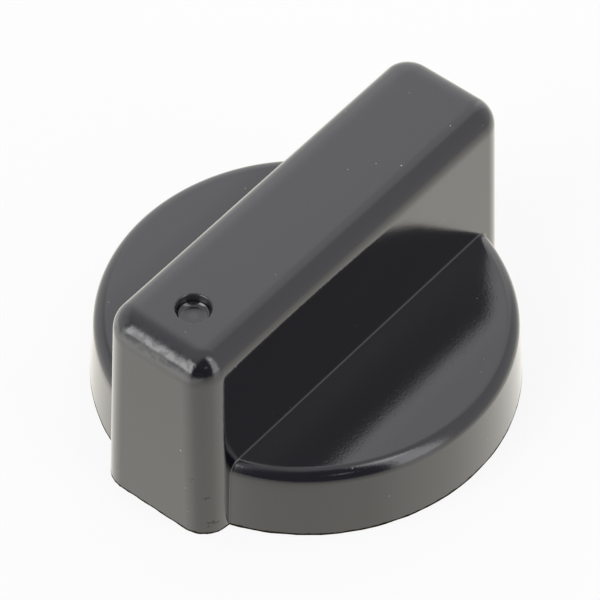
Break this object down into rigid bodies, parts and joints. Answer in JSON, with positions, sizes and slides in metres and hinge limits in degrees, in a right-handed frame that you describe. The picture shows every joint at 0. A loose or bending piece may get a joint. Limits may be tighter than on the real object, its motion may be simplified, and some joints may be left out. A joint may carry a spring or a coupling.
{
  "type": "stove knob",
  "caption": "Round black moulded control knob with a raised grip bar across it, a sunk pointer dot and a D-shaped shaft socket in its hollow underside.",
  "frame": {"origin": "centre of the round base, on the plane of the rim that the knob stands on", "axes": "+Z out of the appliance's panel, along the shaft; the grip runs along Y and its pointer dot is at the -Y end"},
  "size_m": [0.048, 0.0524, 0.0265],
  "materials": {
    "black_plastic": "glossy black moulding with a fine orange peel",
    "spring_steel": "bare rolled spring steel"
  },
  "bodies": {
    "root": {"knob_body": "black_plastic", "shaft_spring": "spring_steel"}
  },
  "joints": []
}
